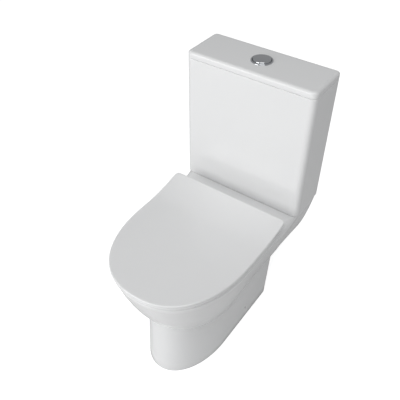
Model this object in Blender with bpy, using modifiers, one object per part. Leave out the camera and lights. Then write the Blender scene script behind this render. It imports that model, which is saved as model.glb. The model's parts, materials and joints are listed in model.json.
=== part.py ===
"""Close coupled toilet: a china pan with an open back, a slab cistern and a slim wrap-over seat.

The frame stands on the floor at z = 0, the bowl's nose points to -Y, the wall is at +Y and
x = 0 is the middle. Distances back to front are counted from the wall plane by from_wall().
"""

import math

import bmesh
import bpy
import numpy as np
from mathutils import Matrix, Vector

# Driving dimensions, in metres.
WIDTH = 0.370            # cistern, side to side
PROJECTION = 0.609       # wall to the nose of the seat
HEIGHT = 0.792           # floor to the top of the cistern lid
GAP = 0.0003             # between pieces that touch

CISTERN_DEPTH = 0.136
CISTERN_BOTTOM = 0.400
CISTERN_WALL = 0.009
CISTERN_FLOOR = 0.010
FLOOR_TOP = CISTERN_BOTTOM + CISTERN_FLOOR
LID_HEIGHT = 0.0176      # cistern lid, seen from the front
LID_SEAM = 0.0008
EDGE_FRONT = 0.015       # vertical edges of the cistern
EDGE_BACK = 0.012

RIM_TOP = 0.3945         # china under the seat
UNDERSIDE = 0.3745       # and its lower face, over the hollow
SHELF_TOP = 0.3990       # china under the cistern
SHELF_HALF = 0.183
RIM_HALF = 0.1755
RIM_NOSE = 0.603         # from the wall
BASE_HALF = 0.1084       # pedestal at the floor
BASE_NOSE = 0.5356
BASE_BACK = 0.1054
CREASE_NOSE = 0.220      # height where the bowl's skirt meets the pedestal
CREASE_SIDE = 0.182
CREASE_BACK = 0.254
CHINA = 0.012            # wall thickness
BOWL_DEPTH = 0.302
BOWL_NARROWS_FRONT = 0.10         # how much shorter the lower bowl gets, so the pedestal keeps its wall
BOWL_NARROWS_SIDES = 0.25         # and how much narrower

FLUSH_FROM_WALL = 0.068  # flush valve, button and coupling bolts
BOLT_X = 0.0775
INLET_X = -0.125
SEAT_BOLT_FROM_WALL = 0.205
SPIGOT_Z = 0.185
CHANNEL_Z = 0.348        # flush channel, from the inlet to the bowl
SPIGOT_END = 0.075       # from the wall
FIXING_FROM_WALL = 0.234
FIXING_Z = 0.042

SEAT_HALF = 0.1795
SEAT_REAR_HALF = 0.1812
SEAT_REAR = 0.193        # rear edge of the seat lid, from the wall
RING_REAR = 0.201
RING_BOTTOM = 0.3977
RING_TOP = 0.4072
SEAT_LID_BOTTOM = 0.4082
SEAT_LID_TOP = 0.4162
SWEEP_START = 0.310      # where the seat lid starts to rise to its hinges
SWEEP_RISE = 0.018
HINGE_FROM_WALL = 0.2025
HINGE_Z = 0.4165
PIN_R = 0.0025
KNUCKLE_R = 0.0052

TURN_STEPS = 24          # sides of a turned piece
FRONT_POINTS = 12        # points of a half outline round the nose
SIDE_POINTS = 8          # and along the side


def from_wall(distance):
    """y of a plane this far in front of the wall; the frame's middle is halfway out."""
    return PROJECTION / 2 - distance


# ---------------------------------------------------------------- scene and materials

def clear_scene():
    for obj in list(bpy.data.objects):
        bpy.data.objects.remove(obj)
    for old in list(bpy.data.collections):
        bpy.data.collections.remove(old)


clear_scene()
PARTS = bpy.data.collections.new("close_coupled_toilet")
CUTTERS = bpy.data.collections.new("cutters")
for collection in (PARTS, CUTTERS):
    bpy.context.scene.collection.children.link(collection)


def finish_of(name, colour, roughness, metallic=0.0):
    made = bpy.data.materials.new(name)
    made.use_nodes = True
    shader = made.node_tree.nodes["Principled BSDF"]
    shader.inputs["Base Color"].default_value = (*colour, 1.0)
    shader.inputs["Roughness"].default_value = roughness
    shader.inputs["Metallic"].default_value = metallic
    return made


CHINA_GLAZE = finish_of("china_glaze", (0.86, 0.87, 0.87), 0.08)
SEAT_WHITE = finish_of("seat_white", (0.84, 0.85, 0.86), 0.25)
CHROME = finish_of("chrome", (0.75, 0.76, 0.77), 0.06, 1.0)
VALVE_WHITE = finish_of("valve_white", (0.80, 0.81, 0.80), 0.4)
VALVE_BLUE = finish_of("valve_blue", (0.10, 0.25, 0.50), 0.45)
RUBBER_BLACK = finish_of("rubber_black", (0.03, 0.03, 0.03), 0.8)
BUFFER_GREY = finish_of("buffer_grey", (0.70, 0.71, 0.72), 0.5)
STEEL = finish_of("steel", (0.62, 0.62, 0.62), 0.3, 1.0)
BRASS = finish_of("brass", (0.72, 0.55, 0.25), 0.35, 1.0)


def place(obj, finish=None, cutter=False):
    """Puts a new object in its collection, with its finish or as a wire cutter."""
    for held in list(obj.users_collection):
        held.objects.unlink(obj)
    if cutter:
        CUTTERS.objects.link(obj)
        obj.hide_render = True
        obj.display_type = "WIRE"
    else:
        PARTS.objects.link(obj)
        obj.data.materials.clear()
        obj.data.materials.append(finish)
    return obj


def object_from(name, bm, finish=None, cutter=False, smooth_angle=40):
    mesh = bpy.data.meshes.new(name)
    bmesh.ops.recalc_face_normals(bm, faces=bm.faces)
    bm.to_mesh(mesh)
    bm.free()
    mesh.shade_smooth()
    mesh.set_sharp_from_angle(angle=math.radians(smooth_angle))
    return place(bpy.data.objects.new(name, mesh), finish, cutter)


def boolean(obj, other, operation="DIFFERENCE"):
    step = obj.modifiers.new(f"{operation.lower()}_{other.name}"[:60], "BOOLEAN")
    step.operation = operation
    step.object = other
    step.solver = "EXACT"
    return obj


def cut(obj, *others):
    for other in others:
        boolean(obj, other)
    return obj


def join(obj, *others):
    for other in others:
        boolean(obj, other, "UNION")
    return obj


# ---------------------------------------------------------------- shapes

def box(name, low, high, finish=None, cutter=False, upright=0.0, upright_back=None,
        bottom=0.0, top=0.0, segments=3):
    """A box between two corners, with rounded upright, bottom and top edges."""
    low, high = Vector(low), Vector(high)
    bm = bmesh.new()
    bmesh.ops.create_cube(bm, size=1.0)
    bmesh.ops.scale(bm, vec=high - low, verts=bm.verts)
    bmesh.ops.translate(bm, vec=(low + high) / 2, verts=bm.verts)
    near = 1e-6

    def round_off(edges, radius):
        if radius > 0:
            bmesh.ops.bevel(bm, geom=edges, offset=radius, segments=segments, profile=0.5,
                            affect="EDGES", clamp_overlap=True)

    def upright_at(y):
        return [e for e in bm.edges if abs(e.verts[0].co.z - e.verts[1].co.z) > near
                and all(abs(v.co.y - y) < near for v in e.verts)]

    def level_at(z):
        return [e for e in bm.edges if all(abs(v.co.z - z) < near for v in e.verts)]

    round_off(upright_at(low.y), upright)
    round_off(upright_at(high.y), upright if upright_back is None else upright_back)
    round_off(level_at(low.z), bottom)
    round_off(level_at(high.z), top)
    return object_from(name, bm, finish, cutter)


def rod(name, radius, start, end, finish=None, cutter=False, sides=24):
    """A round bar between two points."""
    start, end = Vector(start), Vector(end)
    along = end - start
    bm = bmesh.new()
    bmesh.ops.create_cone(bm, cap_ends=True, segments=sides, radius1=radius, radius2=radius,
                          depth=along.length)
    turn = along.to_track_quat("Z", "Y").to_matrix().to_4x4()
    bmesh.ops.transform(bm, matrix=Matrix.Translation((start + end) / 2) @ turn, verts=bm.verts)
    return object_from(name, bm, finish, cutter)


def turned(name, profile, at, finish=None, cutter=False, steps=TURN_STEPS, closed=False):
    """A turned piece about an upright axis through at: profile is (radius, z), outer side downwards."""
    mesh = bpy.data.meshes.new(name)
    points = [(r, 0.0, z) for r, z in profile]
    last = len(points)
    edges = [(i, i + 1) for i in range(last - 1)]
    if closed:
        edges.append((last - 1, 0))
    mesh.from_pydata(points, edges, [])
    obj = place(bpy.data.objects.new(name, mesh), finish, cutter)
    obj.location = at
    screw = obj.modifiers.new("turn", "SCREW")
    screw.steps = steps
    screw.render_steps = steps
    screw.use_merge_vertices = True
    screw.merge_threshold = 1e-5
    screw.use_smooth_shade = True
    return obj


def ring_profile(outer, inner, low, high, ease=0.0):
    """The closed section of a flat ring, with eased outer corners."""
    points = [(inner, high), (outer - ease, high)]
    if ease:
        points.append((outer, high - ease))
        points.append((outer, low + ease))
    else:
        points.append((outer, high))
    points.append((outer - ease, low))
    points.append((inner, low))
    return points


def nut(name, radius, bore, low, high, at, finish, sides=6):
    """A flat nut with this many sides and a round bore."""
    x, y = at[0], at[1]
    body = rod(name, radius, (x, y, low), (x, y, high), finish, sides=sides)
    return cut(body, rod(f"{name}_bore", bore, (x, y, low - 0.01), (x, y, high + 0.01), cutter=True))


def half_outline(nose, half, widest, power, rear_half, rear, corner,
                 corner_points=4):
    """The right half of a plan outline, from the nose on x = 0 round to the rear on x = 0.

    All lengths are y values, not distances from the wall. The front is a superellipse.
    """
    points = []
    for i in range(FRONT_POINTS):
        turn = math.pi / 2 * i / FRONT_POINTS
        points.append((half * math.sin(turn) ** (2 / power),
                       widest - (widest - nose) * math.cos(turn) ** (2 / power)))
    for i in range(SIDE_POINTS):
        share = i / SIDE_POINTS
        ease = share * share * (3 - 2 * share)
        points.append((half + (rear_half - half) * ease,
                       widest + (rear - corner - widest) * share))
    for i in range(corner_points):
        turn = math.pi / 2 * i / corner_points
        points.append((rear_half - corner + corner * math.cos(turn),
                       rear - corner + corner * math.sin(turn)))
    points.append((rear_half - corner, rear))
    points.append((0.0, rear))
    return np.array(points)


def inset(points, distance):
    """A half outline moved inwards in plan."""
    before = np.vstack([points[1] * [-1, 1], points[:-1]])
    after = np.vstack([points[1:], points[-2] * [-1, 1]])
    along = after - before
    along /= np.linalg.norm(along, axis=1)[:, None]
    moved = points + distance * np.column_stack([-along[:, 1], along[:, 0]])
    moved[0, 0] = moved[-1, 0] = 0.0
    return moved


def loft(name, rings, finish=None, cutter=False):
    """Joins half rings, bottom to top, caps both ends with strips across x, and mirrors the half."""
    bm = bmesh.new()
    grid = [[bm.verts.new(p) for p in ring] for ring in rings]
    for low, high in zip(grid[:-1], grid[1:]):
        for i in range(len(low) - 1):
            bm.faces.new((low[i], low[i + 1], high[i + 1], high[i]))

    def cap(ring):
        middle = ring[0]
        rear = ring[-1].co.y
        for i in range(1, len(ring)):
            if ring[i].co.y > rear - 1e-5:
                bm.faces.new((middle, *ring[i - 1 if i > 1 else 1:]))
                return
            centre = bm.verts.new((0.0, ring[i].co.y, ring[i].co.z))
            corners = (middle, ring[i], centre) if i == 1 else (middle, ring[i - 1], ring[i], centre)
            bm.faces.new(corners)
            middle = centre

    cap(grid[0])
    cap(grid[-1])
    obj = object_from(name, bm, finish, cutter)
    mirror = obj.modifiers.new("other_half", "MIRROR")
    mirror.merge_threshold = 1e-5
    return obj


# ---------------------------------------------------------------- pan

def smooth(share):
    share = np.clip(share, 0, 1)
    return share * share * (3 - 2 * share)


def china_top(y):
    """Height of the pan's top: level under the seat, then up to the cistern shelf."""
    return RIM_TOP + (SHELF_TOP - RIM_TOP) * smooth((y - from_wall(0.194)) / 0.034)


def pan_sections(wall):
    """What the pan's outside (wall 0) or the hollow inside its walls is lofted from.

    Gives the outline at the floor, the outline at the rim, the crease height and the bulge of the
    skirt at each point (across and along), and pedestal(z), the outline at height z below the crease.
    """
    low = half_outline(from_wall(BASE_NOSE), BASE_HALF, from_wall(0.355), 2.05,
                       BASE_HALF, from_wall(BASE_BACK), 0.012)
    high = half_outline(from_wall(RIM_NOSE), RIM_HALF, from_wall(0.360), 2.3,
                        SHELF_HALF, from_wall(0.0), 0.020)
    index = np.arange(len(low))
    towards_side = smooth(index / FRONT_POINTS)
    towards_back = np.clip((index - FRONT_POINTS) / SIDE_POINTS, 0, 1)
    crease = (CREASE_NOSE + (CREASE_SIDE - CREASE_NOSE) * towards_side
              + (CREASE_BACK - CREASE_SIDE) * towards_back) + wall
    sideways = 0.59 - 0.048 * towards_side - 0.309 * towards_back ** 1.6
    bulge = np.column_stack([sideways, sideways + 0.22 * smooth(2 * towards_back - 1)])
    nose_share = np.clip((from_wall(0.355) - low[:, 1]) / (BASE_NOSE - 0.355), 0, 1)
    back_share = np.clip((low[:, 1] - from_wall(0.25)) / (0.25 - BASE_BACK), 0, 1)

    def pedestal(z):
        ring = low.copy()
        ring[:, 0] *= 1 - 0.0229 * z / BASE_HALF
        ring[:, 1] += nose_share * 0.067 * z + back_share * 0.176 * z
        return inset(ring, wall) if wall else ring

    return low, (inset(high, wall) if wall else high), crease, bulge, pedestal


def pan_rings(base_rings=4, skirt_rings=9, rim_radius=0.007):
    """The outside of the pan as half rings: pedestal up to the crease, then the skirt up to the rim."""
    low, high, crease, bulge, pedestal = pan_sections(0.0)
    rings = [np.column_stack([inset(low, 0.002), 0 * crease])]
    for k in range(base_rings):
        z = 0.002 + (crease - 0.002) * k / base_rings
        rings.append(np.column_stack([pedestal(z), z]))
    base = pedestal(crease)
    top = china_top(high[:, 1])
    for k in range(skirt_rings + 1):
        share = k / skirt_rings
        z = crease + (top - rim_radius - crease) * share
        rings.append(np.column_stack([base + (high - base) * share ** bulge, z]))
    for turn in np.radians([30, 60, 90]):
        edge = inset(high, rim_radius * (1 - math.cos(turn)))
        rings.append(np.column_stack([edge, china_top(edge[:, 1]) - rim_radius * (1 - math.sin(turn))]))
    return rings


def pedestal_hollow(base_rings=3, skirt_rings=6):
    """The space inside the walls: open at the floor and at the back, closed by a ceiling."""
    _, high, crease, bulge, pedestal = pan_sections(CHINA)
    rings = []
    for k in range(base_rings):
        z = -0.01 + (crease + 0.01) * k / base_rings
        rings.append(np.column_stack([pedestal(z), z]))
    base = pedestal(crease)
    for k in range(skirt_rings + 1):
        share = k / skirt_rings
        z = crease + (UNDERSIDE - crease) * share
        rings.append(np.column_stack([base + (high - base) * (0.94 * share) ** bulge, z]))
    corner = FRONT_POINTS + SIDE_POINTS
    rings = np.array(rings)[:, [*range(corner + 1), -1]]
    rings[:, corner:, 1] = from_wall(-0.03)
    return loft("hollow_cut", rings, cutter=True)


def bowl_rings(grow=0.0, rings=9, sides=18):
    """The bowl's wet surface as half rings from the sump up to the rim; grow makes its outside."""
    made = []
    for k in range(rings):
        share = 1 - k / (rings - 1)
        shrink = (1 - share ** 2.4) ** 0.5 * 0.74 + 0.26
        z = RIM_TOP - (BOWL_DEPTH + grow) * share
        if k == rings - 1:
            z = RIM_TOP + (0.02 if not grow else -0.006)
        narrowing = smooth((share - 0.25) / 0.5)
        middle = 0.400 - 0.062 * share
        front = (0.573 - 0.400) * shrink * (1 - BOWL_NARROWS_FRONT * narrowing) + grow
        back = (0.400 - 0.226) * shrink * (1 - 0.22 * share) + grow
        half = 0.1455 * shrink * (1 - BOWL_NARROWS_SIDES * narrowing) + grow
        points = []
        for i in range(sides + 1):
            turn = math.pi * i / sides
            length = front if turn < math.pi / 2 else back
            power = 2.2 if turn < math.pi / 2 else 2.5
            side = math.sin(turn) ** (2 / power) * half
            along = math.copysign(abs(math.cos(turn)) ** (2 / power), math.cos(turn))
            points.append((side, from_wall(middle + along * length), z))
        points[0] = (0.0, *points[0][1:])
        points[-1] = (0.0, *points[-1][1:])
        made.append(np.array(points))
    return made


def trap_route():
    """Points (from the wall, z) along the trapway's middle: level, up 62 degrees, over the weir, level."""
    back, z, heading = 0.352, 0.118, 0.0
    points = [(back, z)]
    for run, radius, turn in ((0.045, 0.060, 62), (0.0416, 0.050, -100), (0.009, 0.055, 38)):
        back -= run * math.cos(heading)
        z += run * math.sin(heading)
        points.append((back, z))
        pieces = max(3, round(abs(turn) / 16))
        for _ in range(pieces):
            bend = math.radians(turn) / pieces
            chord = 2 * radius * math.sin(abs(bend) / 2)
            back -= chord * math.cos(heading + bend / 2)
            z += chord * math.sin(heading + bend / 2)
            heading += bend
            points.append((back, z))
    return points


def trap_tube(name, radius):
    """The trapway out of the sump, up over the weir and down into the spigot, as a tube."""
    route = trap_route()
    curve = bpy.data.curves.new(name, "CURVE")
    curve.dimensions = "3D"
    curve.bevel_depth = radius
    curve.bevel_resolution = 3
    curve.use_fill_caps = True
    spline = curve.splines.new("POLY")
    spline.points.add(len(route) - 1)
    for point, (back, z) in zip(spline.points, route):
        point.co = (0.0, from_wall(back), z, 1.0)
    return welded(bpy.data.objects.new(name, curve), cutter=True)


def welded(curve_object, finish=None, cutter=False):
    """Turns a curve object into a closed mesh object of the same name."""
    name = curve_object.name
    CUTTERS.objects.link(curve_object)
    bpy.context.view_layer.update()
    evaluated = curve_object.evaluated_get(bpy.context.evaluated_depsgraph_get())
    mesh = bpy.data.meshes.new_from_object(evaluated)
    bpy.data.objects.remove(curve_object)
    bm = bmesh.new()
    bm.from_mesh(mesh)
    bmesh.ops.remove_doubles(bm, verts=bm.verts, dist=1e-5)
    bpy.data.meshes.remove(mesh)
    return object_from(name, bm, finish, cutter)


def pan():
    """The china pan: skirt and pedestal, bowl, trapway with spigot, flush inlet and its fixing holes."""
    body = loft("pan", pan_rings(), CHINA_GLAZE)
    flush_y = from_wall(FLUSH_FROM_WALL)
    hollow = pedestal_hollow()
    kept = [
        loft("bowl_outside", bowl_rings(CHINA), cutter=True),
        trap_tube("trap_outside", 0.0345),
        rod("spigot_outside", 0.051, (0, from_wall(0.150), SPIGOT_Z),
            (0, from_wall(SPIGOT_END), SPIGOT_Z), cutter=True, sides=32),
        rod("inlet_outside", 0.054, (0, flush_y, 0.315), (0, flush_y, 0.385), cutter=True, sides=28),
        rod("channel_outside", 0.036, (0, flush_y, CHANNEL_Z),
            (0, from_wall(0.262), CHANNEL_Z), cutter=True),
    ]
    front_fill = box("front_fill", (-0.16, from_wall(0.62), 0.312), (0.16, from_wall(0.452), 0.40),
                     cutter=True)
    cut(hollow, front_fill, *kept)
    cut(body, hollow)
    cut(body, *[
        loft("bowl_inside", bowl_rings(), cutter=True),
        trap_tube("trap_inside", 0.0265),
        rod("spigot_inside", 0.040, (0, from_wall(0.140), SPIGOT_Z),
            (0, from_wall(SPIGOT_END - 0.02), SPIGOT_Z), cutter=True, sides=28),
        rod("gasket_recess", 0.048, (0, flush_y, 0.3665), (0, flush_y, 0.42), cutter=True, sides=32),
        rod("inlet_well", 0.030, (0, flush_y, 0.330), (0, flush_y, 0.37), cutter=True),
        rod("flush_channel", 0.0235, (0, flush_y + 0.01, CHANNEL_Z),
            (0, from_wall(0.250), CHANNEL_Z),
            cutter=True),
        box("inlet_notch", (INLET_X - 0.021, from_wall(0.094), 0.33),
            (INLET_X + 0.021, from_wall(-0.02), 0.42), cutter=True),
    ])
    for side, sign in (("left", -1), ("right", 1)):
        cut(body, *[
            rod(f"coupling_hole_{side}", 0.0058, (sign * BOLT_X, flush_y, 0.33),
                (sign * BOLT_X, flush_y, 0.42), cutter=True, sides=20),
            rod(f"seat_hole_{side}", 0.007, (sign * BOLT_X, from_wall(SEAT_BOLT_FROM_WALL), 0.35),
                (sign * BOLT_X, from_wall(SEAT_BOLT_FROM_WALL), 0.42), cutter=True, sides=20),
            rod(f"fixing_hole_{side}", 0.0045, (sign * 0.08, from_wall(FIXING_FROM_WALL), FIXING_Z),
                (sign * 0.13, from_wall(FIXING_FROM_WALL), FIXING_Z), cutter=True, sides=20),
        ])
    return body


# ---------------------------------------------------------------- cistern

LID_BOTTOM = HEIGHT - LID_HEIGHT


def cistern_body():
    """The china tank: four walls and a floor with holes for the valves and the bolts."""
    low = (-WIDTH / 2, from_wall(CISTERN_DEPTH), CISTERN_BOTTOM)
    high = (WIDTH / 2, from_wall(0), LID_BOTTOM - LID_SEAM)
    body = box("cistern_body", low, high, CHINA_GLAZE, upright=EDGE_FRONT, upright_back=EDGE_BACK,
               bottom=0.004, top=0.001)
    wall = CISTERN_WALL
    flush_y = from_wall(FLUSH_FROM_WALL)
    cut(body, box("tank_inside", (low[0] + wall, low[1] + wall, CISTERN_BOTTOM + CISTERN_FLOOR),
                  (high[0] - wall, high[1] - wall, HEIGHT), cutter=True, upright=0.010, bottom=0.006))
    cut(body, rod("flush_hole", 0.0310, (0, flush_y, 0.39), (0, flush_y, 0.42), cutter=True, sides=32),
        rod("inlet_hole", 0.0112, (INLET_X, flush_y, 0.39), (INLET_X, flush_y, 0.42), cutter=True))
    for side, sign in (("left", -1), ("right", 1)):
        cut(body, rod(f"tank_bolt_hole_{side}", 0.0058, (sign * BOLT_X, flush_y, 0.39),
                      (sign * BOLT_X, flush_y, 0.42), cutter=True, sides=20))
    return body


def cistern_lid():
    """The lift-off china lid: a slab with a locating lip below and a hole for the button."""
    low = (-WIDTH / 2, from_wall(CISTERN_DEPTH), LID_BOTTOM)
    high = (WIDTH / 2, from_wall(0), HEIGHT)
    slab = box("cistern_lid", low, high, CHINA_GLAZE, upright=EDGE_FRONT, upright_back=EDGE_BACK,
               bottom=0.001, top=0.005)
    lip = CISTERN_WALL + 0.0025
    join(slab, box("lid_lip", (low[0] + lip, low[1] + lip, LID_BOTTOM - 0.008),
                   (high[0] - lip, high[1] - lip, LID_BOTTOM + 0.004), cutter=True, upright=0.008))
    web = lip + 0.007
    flush_y = from_wall(FLUSH_FROM_WALL)
    cut(slab, box("lid_inside", (low[0] + web, low[1] + web, LID_BOTTOM - 0.02),
                  (high[0] - web, high[1] - web, HEIGHT - 0.009), cutter=True, upright=0.006),
        rod("button_hole", 0.0260, (0, flush_y, 0.77), (0, flush_y, 0.80), cutter=True, sides=40))
    return slab


def coupling():
    """What seals and holds the cistern on the pan."""
    flush_y = from_wall(FLUSH_FROM_WALL)
    turned("coupling_gasket", [(0.0382, 0.3990), (0.0470, 0.3990), (0.0470, 0.3705), (0.0450, 0.3670),
                               (0.0310, 0.3670), (0.0310, 0.3758), (0.0382, 0.3758)],
           (0, flush_y, 0), RUBBER_BLACK, closed=True)
    for side, sign in (("left", -1), ("right", 1)):
        x = sign * BOLT_X
        turned(f"bolt_washer_{side}", ring_profile(0.0125, 0.0046, FLOOR_TOP + GAP, FLOOR_TOP + 0.0035),
               (x, flush_y, 0), RUBBER_BLACK, steps=24, closed=True)
        turned(f"coupling_bolt_{side}",
               [(0, FLOOR_TOP + 0.0088), (0.0075, FLOOR_TOP + 0.0088), (0.0090, FLOOR_TOP + 0.0074),
                (0.0090, FLOOR_TOP + 0.0038), (0.0040, FLOOR_TOP + 0.0038), (0.0040, UNDERSIDE - 0.026),
                (0.0032, UNDERSIDE - 0.027), (0, UNDERSIDE - 0.027)], (x, flush_y, 0), BRASS, steps=20)
        winged = turned(f"wing_nut_{side}",
                        ring_profile(0.0095, 0.0044, UNDERSIDE - 0.0165, UNDERSIDE - 0.0035, 0.0012),
                        (x, flush_y, 0), BRASS, steps=20, closed=True)
        for end, reach in (("a", 1), ("b", -1)):
            near, far = sorted((reach * 0.0075, reach * 0.019))
            join(winged, box(f"wing_{side}_{end}", (x - 0.0016, flush_y + near, UNDERSIDE - 0.021),
                             (x + 0.0016, flush_y + far, UNDERSIDE - 0.009), cutter=True))


# ---------------------------------------------------------------- flush valve

def flush_valve():
    """The tower on the flush hole, and the overflow tube with its seal, which lifts to flush."""
    at = (0, from_wall(FLUSH_FROM_WALL), 0)
    turned("flush_valve_washer", ring_profile(0.0385, 0.0285, FLOOR_TOP + GAP, FLOOR_TOP + 0.0033),
           at, RUBBER_BLACK, closed=True)
    seat = FLOOR_TOP + 0.0036
    tower = turned("flush_valve_body",
                   [(0.0225, seat + 0.006), (0.0270, seat + 0.006), (0.0270, 0.4580), (0.0160, 0.4720),
                    (0.0160, 0.6600), (0.0185, 0.6650), (0.0185, 0.6720), (0.0245, 0.6720),
                    (0.0245, 0.6620), (0.0200, 0.6560), (0.0190, 0.4760), (0.0300, 0.4620),
                    (0.0300, seat + 0.0035), (0.0390, seat + 0.0035), (0.0390, seat),
                    (0.0280, seat), (0.0280, 0.3700), (0.0225, 0.3700)],
                   at, VALVE_WHITE, closed=True)
    for k in range(3):
        turn = math.radians(30 + 60 * k)
        reach = Vector((math.cos(turn), math.sin(turn), 0)) * 0.05
        level = Vector((0, at[1], 0.435))
        cut(tower, rod(f"valve_window_{k}", 0.0085, level - reach, level + reach, cutter=True, sides=12))
    nut("flush_valve_backnut", 0.0372, 0.0285, 0.3768, CISTERN_BOTTOM - 0.0006, at, VALVE_WHITE, 12)
    turned("overflow_tube",
           [(0.0100, 0.7000), (0.0125, 0.7000), (0.0125, seat + 0.0185), (0.0210, seat + 0.0150),
            (0.0210, seat + 0.0110), (0.0100, seat + 0.0110)], at, VALVE_BLUE, steps=24, closed=True)
    turned("flush_seal", ring_profile(0.0252, 0.0103, seat + 0.0064, seat + 0.0107),
           at, RUBBER_BLACK, closed=True)


# ---------------------------------------------------------------- fill valve

def fill_valve():
    """The inlet valve: threaded shank, riser, head, cup float and the arm that shuts the valve."""
    y = from_wall(FLUSH_FROM_WALL)
    at = (INLET_X, y, 0)
    turned("fill_valve_washer", ring_profile(0.0170, 0.0108, FLOOR_TOP + GAP, FLOOR_TOP + 0.0028),
           at, RUBBER_BLACK, steps=24, closed=True)
    low = FLOOR_TOP + 0.0031
    body = turned("fill_valve_body",
                  [(0.0, 0.7000), (0.0150, 0.7000), (0.0170, 0.6980), (0.0170, 0.6700), (0.0120, 0.6660),
                   (0.0120, low + 0.014), (0.0165, low + 0.010), (0.0165, low), (0.0103, low),
                   (0.0103, 0.3560), (0.0065, 0.3560), (0.0065, 0.6400), (0.0, 0.6400)],
                  at, VALVE_WHITE, steps=24)
    pivot = (INLET_X + 0.0235, y, 0.690)
    for k, sign in enumerate((-1, 1)):
        near, far = sorted((sign * 0.0035, sign * 0.0065))
        join(body, box(f"arm_ear_{k}", (INLET_X + 0.010, y + near, 0.680),
                       (INLET_X + 0.0265, y + far, 0.6955), cutter=True))
    cut(body, rod("outlet_port", 0.0045, (INLET_X - 0.03, y, 0.480), (INLET_X, y, 0.480),
                  cutter=True, sides=16))
    nut("fill_valve_backnut", 0.0170, 0.0108, 0.3850, CISTERN_BOTTOM - 0.0006, at, VALVE_WHITE)
    cup = turned("fill_valve_float",
                 [(0.0130, 0.6080), (0.0150, 0.6080), (0.0150, 0.5530), (0.0255, 0.5530), (0.0255, 0.6060),
                  (0.0275, 0.6060), (0.0275, 0.5500), (0.0130, 0.5500)], at, VALVE_BLUE, closed=True)
    boss_x = INLET_X + 0.0360
    join(cup, box("float_lug", (INLET_X + 0.0262, y - 0.0045, 0.585), (boss_x + 0.0045, y + 0.0045, 0.597),
                  cutter=True))
    cut(cup, rod("screw_hole", 0.0024, (boss_x, y, 0.57), (boss_x, y, 0.62), cutter=True, sides=16))
    turned("float_screw",
           [(0, 0.6790), (0.0034, 0.6790), (0.0034, 0.6765), (0.0020, 0.6765), (0.0020, 0.5780),
            (0, 0.5780)],
           (boss_x, y, 0), VALVE_WHITE, steps=16)
    arm = box("fill_valve_arm", (INLET_X + 0.0192, y - 0.0030, 0.6860),
              (boss_x + 0.0055, y + 0.0030, 0.6905), VALVE_BLUE)
    join(arm, rod("arm_eye", 0.0042, (pivot[0], y - 0.0030, pivot[2]), (pivot[0], y + 0.0030, pivot[2]),
                  cutter=True, sides=16))


# ---------------------------------------------------------------- button

def button():
    """The chrome button in its bezel, the nut that clamps the bezel, the rod and its spring."""
    at = (0, from_wall(FLUSH_FROM_WALL), 0)
    top = HEIGHT
    turned("button_bezel",
           [(0.0242, top + 0.0014), (0.0250, top + 0.0026), (0.0262, top + 0.0030), (0.0280, top + 0.0024),
            (0.0289, top + 0.0012), (0.0291, top + GAP), (0.0257, top + GAP), (0.0257, top - 0.0300),
            (0.0242, top - 0.0300)], at, CHROME, steps=32, closed=True)
    turned("button_nut", ring_profile(0.0310, 0.0260, top - 0.0145, top - 0.0093, 0.0008),
           at, VALVE_WHITE, closed=True)
    turned("flush_button",
           [(0, top + 0.0066), (0.0150, top + 0.0063), (0.0212, top + 0.0055), (0.0230, top + 0.0040),
            (0.0237, top + 0.0015), (0.0237, top - 0.0130), (0.0222, top - 0.0130), (0.0222, top + 0.0010),
            (0.0045, top + 0.0030), (0.0045, top - 0.0120), (0, top - 0.0120)], at, CHROME, steps=32)
    turned("button_rod",
           [(0, top - 0.0123), (0.0045, top - 0.0123), (0.0045, top - 0.0400), (0.0075, top - 0.0430),
            (0.0075, top - 0.0460), (0, top - 0.0460)], at, VALVE_WHITE, steps=20)


def guide_bridge():
    """A bridge in the bezel's lower end, which guides the rod and carries the spring."""
    at = (0, from_wall(FLUSH_FROM_WALL), 0)
    turned("button_guide", ring_profile(0.0290, 0.0060, HEIGHT - 0.0345, HEIGHT - 0.0303, 0.0008),
           at, VALVE_WHITE, closed=True)


def spring():
    """The button's return spring: a coil between the guide and the button's skirt."""
    y = from_wall(FLUSH_FROM_WALL)
    turns, steps = 4, 10
    low, high = HEIGHT - 0.0290, HEIGHT + 0.0002
    curve = bpy.data.curves.new("button_spring", "CURVE")
    curve.dimensions = "3D"
    curve.bevel_depth = 0.0007
    curve.bevel_resolution = 2
    curve.use_fill_caps = True
    spline = curve.splines.new("POLY")
    count = turns * steps
    spline.points.add(count)
    for i, point in enumerate(spline.points):
        turn = 2 * math.pi * i / steps
        z = low + (high - low) * i / count
        point.co = (0.0100 * math.cos(turn), y + 0.0100 * math.sin(turn), z, 1.0)
    welded(bpy.data.objects.new("button_spring", curve), STEEL)


# ---------------------------------------------------------------- seat

def sweep(y):
    """How far the seat lid has risen at this y, towards its hinges."""
    share = np.clip((y - from_wall(SWEEP_START)) / (SWEEP_START - SEAT_REAR), 0, 1.2)
    return SWEEP_RISE * share ** 1.6


def seat_outline():
    return half_outline(from_wall(PROJECTION), SEAT_HALF, from_wall(0.360), 2.3,
                        SEAT_REAR_HALF, from_wall(SEAT_REAR), 0.012)


def plate_rings(outline, sections, lift):
    """Half rings of a thin plate: each section is (inset, z), and lift(y) raises every point."""
    rings = []
    for distance, z in sections:
        edge = inset(outline, distance)
        rings.append(np.column_stack([edge, z + lift(edge[:, 1])]))
    return rings


def level(y):
    return 0 * y


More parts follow.
